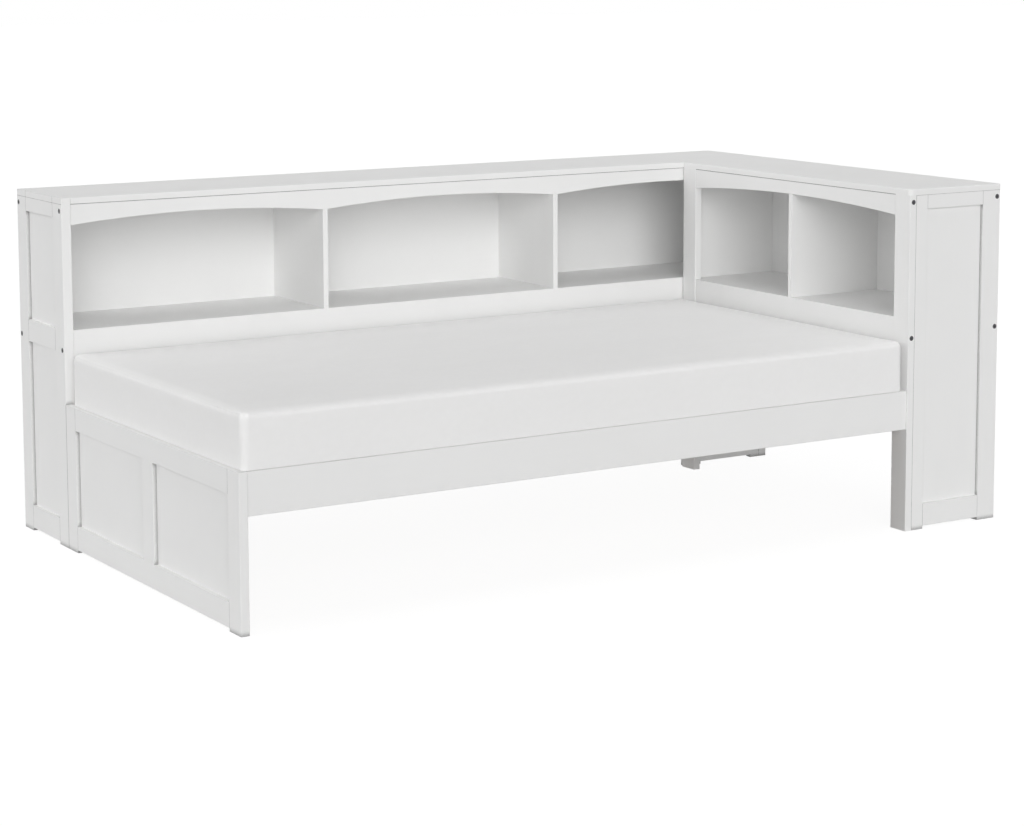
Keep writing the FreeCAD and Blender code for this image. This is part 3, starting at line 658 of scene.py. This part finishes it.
def rounded_pad(points, form):
    """A rounded box from a square one. In plan, a point that is beyond the inner rectangle by (dx, dy) keeps
    the larger of the two as its distance and turns to the corner's circle. Then the same is done in section,
    with the distance in from the outline and the distance from the top or bottom."""
    low, high = points.min(0), points.max(0)
    radius = form.plan_radius
    centre = np.clip(points[:, :2], low[:2] + radius, high[:2] - radius)
    out = points[:, :2] - centre
    square = np.abs(out).max(1)
    length = np.maximum(np.hypot(out[:, 0], out[:, 1]), TINY)
    middle, half = (low[2] + high[2]) / 2, (high[2] - low[2]) / 2
    edge = np.where(points[:, 2] > middle, form.top_radius, form.low_radius)
    side = edge - (radius - square)
    rise = edge - (half - np.abs(points[:, 2] - middle))
    both = (side > 0) & (rise > 0)
    turn = np.maximum(side, rise) / np.maximum(np.hypot(side, rise), TINY)
    side, rise = np.where(both, side * turn, side), np.where(both, rise * turn, rise)
    reach = np.where(square > 0, radius - edge + side, 0.0)
    made = points.copy()
    made[:, :2] = centre + out / length[:, None] * np.maximum(reach, 0.0)[:, None]
    made[:, 2] = middle + np.sign(points[:, 2] - middle) * (half - edge + rise)
    return made


def filled(piece, points, pinned, form):
    """Where the cover goes when the filling presses on it from inside, with its underside held by the slats. A
    border wire takes back its share of the way that a point moves in from the outline. What is left of the
    move, m, is shortened smoothly to swell times tanh(m / swell)."""
    group = piece.vertex_groups.new(name="held")
    group.add(np.flatnonzero(pinned).tolist(), 1.0, "REPLACE")
    cloth = piece.modifiers.new("filling", "CLOTH")
    for key, value in COVER.items():
        setattr(cloth.settings, key, value)
    cloth.settings.vertex_group_mass = group.name
    cloth.settings.use_pressure = True
    cloth.settings.uniform_pressure_force = form.pressure
    cloth.settings.effector_weights.gravity = 0.0
    cloth.collision_settings.use_collision = False
    scene = bpy.context.scene
    for step in range(1, form.frames + 1):
        scene.frame_set(step)
    settled = piece.evaluated_get(bpy.context.evaluated_depsgraph_get())
    moved = np.zeros(len(points) * 3, np.float32)
    settled.to_mesh().vertices.foreach_get("co", moved)
    settled.to_mesh_clear()
    piece.modifiers.remove(cloth)
    piece.vertex_groups.remove(group)
    scene.frame_set(1)
    shift = moved.reshape(-1, 3) - points
    low, high = points.min(0)[:2] + form.plan_radius, points.max(0)[:2] - form.plan_radius
    outward = points[:, :2] - np.clip(points[:, :2], low, high)
    outward /= np.maximum(np.linalg.norm(outward, axis=1), TINY)[:, None]
    drawn_in = np.minimum((shift[:, :2] * outward).sum(1), 0.0) * form.border_wire
    shift[:, :2] -= outward * drawn_in[:, None]
    length = np.maximum(np.linalg.norm(shift, axis=1), TINY)
    kept = form.swell * np.tanh(length / form.swell)
    return points + shift * (kept / length)[:, None]


def carried(path, profile_out, profile_up):
    """A profile carried round a closed level path: at each point, out times the level normal plus up times
    the vertical. The two profile arrays are (points of the path, points of the profile)."""
    ahead = np.roll(path, -1, axis=0) - np.roll(path, 1, axis=0)
    normal = np.stack([ahead[:, 1], -ahead[:, 0]], axis=1)
    normal /= np.maximum(np.linalg.norm(normal, axis=1), TINY)[:, None]
    made = np.repeat(path[:, None, :], profile_out.shape[1], axis=1)
    made[:, :, :2] += normal[:, None, :] * profile_out[:, :, None]
    made[:, :, 2] += profile_up
    return made


def resampled(path, pitch):
    """A closed path with an even number of points, evenly spread along it and about pitch apart."""
    closed = np.vstack([path, path[:1]])
    run = np.concatenate([[0.0], np.cumsum(np.linalg.norm(np.diff(closed, axis=0), axis=1))])
    stations = np.linspace(0.0, run[-1], int(run[-1] / pitch) // 2 * 2 + 1)[:-1]
    return np.stack([np.interp(stations, run, closed[:, n]) for n in range(3)], axis=1)


class BED_OT_mattress(bpy.types.Operator):
    """Makes the mattress: a rounded lattice blown out by a cloth simulation, with a stitched seam at its top
    and bottom edge"""

    bl_idname = "bed.mattress"
    bl_label = "Mattress"

    def execute(self, context):
        form = context.scene.bed_mattress
        square, faces, index = mattress_lattice(form)
        points = rounded_pad(square, form)
        cover = ticking_material(form)
        piece = new_piece("mattress_pad", points, faces, cover)
        last = index.max(0)
        pinned = (index[:, 2] == 0) | (points[:, 2] < MATTRESS_LOW[2] + HELD)
        points = filled(piece, points, pinned, form)
        low, high = np.array(MATTRESS_LOW[:]), np.array(MATTRESS_HIGH[:])
        points = np.clip(points, low, high + np.array([0.0, 0.0, form.swell]))
        piece.data.vertices.foreach_set("co", points.astype(np.float32).ravel())
        piece.data.update()
        smoother = piece.modifiers.new("smooth cover", "SUBSURF")
        smoother.levels = smoother.render_levels = 1
        border = ((index[:, :2] == 0) | (index[:, :2] == last[:2])).any(1)
        centre = (low + high) / 2
        for name, level, upward in (("mattress_top_seam", last[2], 1.0), ("mattress_bottom_seam", 0, -1.0)):
            ring = points[border & (index[:, 2] == level)]
            ring = ring[np.argsort(np.arctan2(ring[:, 1] - centre[1], ring[:, 0] - centre[0]))]
            self.seam(name, resampled(ring, SEAM_PITCH), form, cover, upward)
        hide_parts("mattress")
        return {"FINISHED"}

    def seam(self, name, path, form, cover, upward):
        """A row of stitches: a small tube whose radius rises and falls once every two points of the path,
        sunk a little into the cover."""
        around = circle(8)
        radius = form.seam * (1.0 + STITCH * np.cos(math.pi * np.arange(len(path))))[:, None]
        outward = radius * np.cos(around)[None, :] - SUNK * form.seam
        up = radius * np.sin(around)[None, :] - SUNK * form.seam * upward
        made = carried(path, outward, up).reshape(-1, 3)
        made = np.clip(made, np.array(MATTRESS_LOW[:]), None)
        new_piece(name, made, grid_faces(len(path), len(around), True, True), cover)


class BED_OT_staples(bpy.types.Operator):
    """Staples the webbing to the underside of every slat, two staples to a crossing"""

    bl_idname = "bed.staples"
    bl_label = "Webbing staples"

    def execute(self, context):
        form = context.scene.bed_hardware
        half, bend = form.staple / 2, form.wire * STAPLE_BEND
        under = WEBBING_LOW[2] - form.wire * STAPLE_DROP
        line = np.array([(-half, 0.0, STAPLE_LEG), (-half, 0.0, bend), (-half + bend, 0.0, 0.0),
                         (half - bend, 0.0, 0.0), (half, 0.0, bend), (half, 0.0, STAPLE_LEG)])
        ahead = np.gradient(line, axis=0)
        ahead /= np.linalg.norm(ahead, axis=1)[:, None]
        outward = np.stack([ahead[:, 2], np.zeros(len(line)), -ahead[:, 0]], axis=1)
        around = circle(6)
        ring = form.wire * (np.cos(around)[None, :, None] * outward[:, None, :]
                            + np.sin(around)[None, :, None] * np.array([0.0, 1.0, 0.0]))
        wire = (line[:, None, :] + ring).reshape(-1, 3)
        faces = grid_faces(len(line), len(around), False, True)[:, ::-1]
        # Both ends of the wire, whose six rings have six points each, are closed by two quads.
        ends = np.array([[5, 4, 3, 2], [5, 2, 1, 0], [30, 31, 32, 33], [30, 33, 34, 35]])
        web = self.web_half()
        ys = (WEBBING_LOW[1] + web, WEBBING_HIGH[1] - web)
        places = np.array([(x + offset, y, under) for x in self.slat_middles() for y in ys
                           for offset in (-STAPLE_OFFSET, STAPLE_OFFSET)])
        points, quads = repeated(wire, np.vstack([faces, ends]), places)
        steel = fastener_steel("Staple wire", context.scene.bed_finishes)
        new_piece("webbing_staples", points, quads, steel)
        return {"FINISHED"}

    def node_points(self, name):
        """Every corner of a CAD node, as an array."""
        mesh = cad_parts[name].data
        found = np.zeros(len(mesh.vertices) * 3, np.float32)
        mesh.vertices.foreach_get("co", found)
        return found.reshape(-1, 3)

    def slat_middles(self):
        """The middle of each slat along the bed, from the gaps between the slats' corners."""
        xs = np.unique(np.round(self.node_points("bed_slats")[:, 0], 4))
        groups = np.split(xs, np.flatnonzero(np.diff(xs) > EDGES_APART) + 1)
        edges = np.array([g.mean() for g in groups])
        return (edges[0::2] + edges[1::2]) / 2

    def web_half(self):
        """Half the width of one strap."""
        ys = np.unique(np.round(self.node_points("slat_webbing")[:, 1], 4))
        return (ys[1] - ys[0]) / 2


class BED_OT_back_pins(bpy.types.Operator):
    """Pins the two thin back panels to their cases, all round their edges"""

    bl_idname = "bed.back_pins"
    bl_label = "Back panel pins"

    def execute(self, context):
        form = context.scene.bed_hardware
        parts = [self.pins("side_case_back", 0, 1, form), self.pins("head_case_back", 1, 0, form)]
        shift = np.cumsum([0] + [len(points) for points, _ in parts])
        points = np.vstack([points for points, _ in parts])
        faces = np.vstack([quads + start for (_, quads), start in zip(parts, shift)])
        steel = fastener_steel("Pin heads", context.scene.bed_finishes)
        new_piece("back_panel_pins", points, faces, steel)
        return {"FINISHED"}

    def pins(self, node, run, face, form):
        """Pin heads round one panel. A head is a profile turned about its axis: a low dome, a rounded rim and
        a shank that goes into the panel, closed at both poles by a very small ring."""
        low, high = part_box(node)
        around, radius = circle(12), PIN_RADII * form.pin_head
        turn = np.zeros((len(radius), len(around), 3))
        turn[..., run] = radius[:, None] * np.cos(around)[None, :]
        turn[..., 2] = radius[:, None] * np.sin(around)[None, :]
        turn[..., face] = PIN_HEIGHTS[:, None]
        faces = grid_faces(len(radius), len(around), False, True)[:, ::-1]
        pole = np.array([[0, n, n + 1, n + 2] for n in range(1, len(around) - 1, 2)])
        quads = np.vstack([faces, pole[:, ::-1], pole + (len(radius) - 1) * len(around)])
        if face == 0:
            quads = quads[:, ::-1]
        a = along(low[run] + form.pin_inset, high[run] - form.pin_inset, form.pin_pitch)
        b = along(low[2] + form.pin_inset, high[2] - form.pin_inset, form.pin_pitch)
        edges = [(x, z) for x in a for z in (b[0], b[-1])] + [(x, z) for z in b[1:-1] for x in (a[0], a[-1])]
        places = np.zeros((len(edges), 3))
        places[:, [run, 2]] = np.array(edges)
        places[:, face] = high[face]
        return repeated(turn.reshape(-1, 3), quads, places)


class BED_OT_stage(bpy.types.Operator):
    """Lays the floor and sets the light and the camera"""

    bl_idname = "bed.stage"
    bl_label = "Floor, light and camera"

    def execute(self, context):
        stage = context.scene.bed_stage
        self.floor(stage)
        self.sky(context.scene, stage)
        for name, setting, towards, spread in LAMPS:
            self.lamp(name, getattr(stage, setting), towards, spread)
        data = bpy.data.cameras.new("Camera")
        data.lens = stage.lens
        data.shift_y = stage.shift
        data.clip_end = VIEW_END
        camera = bpy.data.objects.new("Camera", data)
        context.scene.collection.objects.link(camera)
        camera.matrix_world = (Matrix.Translation(Vector(stage.camera))
                               @ Matrix.Rotation(-stage.yaw, 4, "Z")
                               @ Matrix.Rotation(math.pi / 2 - stage.pitch, 4, "X")
                               @ Matrix.Rotation(stage.roll, 4, "Z"))
        context.scene.camera = camera
        context.scene.view_settings.view_transform = "Standard"
        return {"FINISHED"}

    def seen(self, tree):
        """1 for a ray from the camera, a reflection or a clear part, and 0 for light on the bed."""
        rays = tree.nodes.new("ShaderNodeLightPath").outputs
        total = rays["Is Camera Ray"]
        for name in ("Is Glossy Ray", "Is Transmission Ray"):
            larger = tree.nodes.new("ShaderNodeMath")
            larger.operation = "MAXIMUM"
            tree.links.new(total, larger.inputs[0])
            tree.links.new(rays[name], larger.inputs[1])
            total = larger.outputs["Value"]
        return total

    def floor(self, stage):
        """A floor that is white with a faint shadow to the rays that see it, and plain pale to all others."""
        half = stage.floor / 2
        mesh = bpy.data.meshes.new("floor")
        corners = [(-half, -half, 0), (half, -half, 0), (half, half, 0), (-half, half, 0)]
        mesh.from_pydata(corners, [], [(0, 1, 2, 3)])
        piece = bpy.data.objects.new("floor", mesh)
        bpy.context.scene.collection.objects.link(piece)
        material = bpy.data.materials.new("Pale floor")
        material.use_nodes = True
        tree = material.node_tree
        surface = tree.nodes["Principled BSDF"]
        surface.inputs["Roughness"].default_value = 0.9
        surface.inputs["Specular IOR Level"].default_value = 0.1
        surface.inputs["Emission Color"].default_value = WHITE
        seen = self.seen(tree)
        for socket, unseen, as_seen in (("Emission Strength", 0.0, stage.floor_glow),
                                        ("Base Color", stage.floor_tone, stage.floor_shadow)):
            value = tree.nodes.new("ShaderNodeMath")
            value.operation = "MULTIPLY_ADD"
            value.inputs[1].default_value = as_seen - unseen
            value.inputs[2].default_value = unseen
            tree.links.new(seen, value.inputs[0])
            tree.links.new(value.outputs["Value"], surface.inputs[socket])
        mesh.materials.append(material)

    def sky(self, scene, stage):
        """Even light from all round, and plain white where it is seen."""
        world = bpy.data.worlds.new("Sky")
        world.use_nodes = True
        scene.world = world
        tree = world.node_tree
        light = tree.nodes["Background"]
        light.inputs["Color"].default_value = WHITE
        light.inputs["Strength"].default_value = stage.sky
        white = tree.nodes.new("ShaderNodeBackground")
        white.inputs["Color"].default_value = WHITE
        white.inputs["Strength"].default_value = 1.0
        both = tree.nodes.new("ShaderNodeMixShader")
        tree.links.new(self.seen(tree), both.inputs[0])
        tree.links.new(light.outputs["Background"], both.inputs[1])
        tree.links.new(white.outputs["Background"], both.inputs[2])
        tree.links.new(both.outputs["Shader"], tree.nodes["World Output"].inputs["Surface"])

    def lamp(self, name, strength, towards, spread):
        """A soft far lamp. The arrow towards points from the bed to the lamp."""
        data = bpy.data.lights.new(name, "SUN")
        data.energy = strength
        data.angle = math.radians(spread)
        lamp = bpy.data.objects.new(name, data)
        bpy.context.scene.collection.objects.link(lamp)
        lamp.rotation_mode = "QUATERNION"
        lamp.rotation_quaternion = Vector(towards).to_track_quat("Z", "Y")


class BED_PT_bed(bpy.types.Panel):
    """Lists the bed's pieces and their settings"""

    bl_idname = "BED_PT_bed"
    bl_label = "Bed"
    bl_space_type = "VIEW_3D"
    bl_region_type = "UI"
    bl_category = "Bed"

    def draw(self, context):
        """Puts each group's buttons over its settings."""
        for steps, group in SECTIONS:
            settings = getattr(context.scene, group)
            box = self.layout.box()
            for step in steps:
                box.operator(step.bl_idname)
            for key in settings.__annotations__:
                box.prop(settings, key)


GROUPS = {"bed_finishes": BedFinishes, "bed_mattress": BedMattress, "bed_hardware": BedHardware,
          "bed_stage": BedStage}
SECTIONS = (
    ((BED_OT_paint_boards, BED_OT_joints, BED_OT_bare_wood, BED_OT_steel, BED_OT_webbing), "bed_finishes"),
    ((BED_OT_mattress,), "bed_mattress"),
    ((BED_OT_staples, BED_OT_back_pins), "bed_hardware"),
    ((BED_OT_stage,), "bed_stage"),
)
CLASSES = (*GROUPS.values(), *(step for steps, _ in SECTIONS for step in steps), BED_PT_bed)


def register():
    """Makes the settings and operators known to Blender."""
    for one in CLASSES:
        bpy.utils.register_class(one)
    for name, group in GROUPS.items():
        setattr(bpy.types.Scene, name, PointerProperty(type=group))


def unregister():
    """Takes them out again."""
    for name in GROUPS:
        delattr(bpy.types.Scene, name)
    for one in reversed(CLASSES):
        bpy.utils.unregister_class(one)


def main():
    """Makes the bed's pieces in order."""
    register()
    bpy.ops.bed.paint_boards()
    bpy.ops.bed.joints()
    bpy.ops.bed.bare_wood()
    bpy.ops.bed.steel()
    bpy.ops.bed.webbing()
    bpy.ops.bed.mattress()
    bpy.ops.bed.staples()
    bpy.ops.bed.back_pins()
    bpy.ops.bed.stage()


if __name__ == "__main__":
    main()
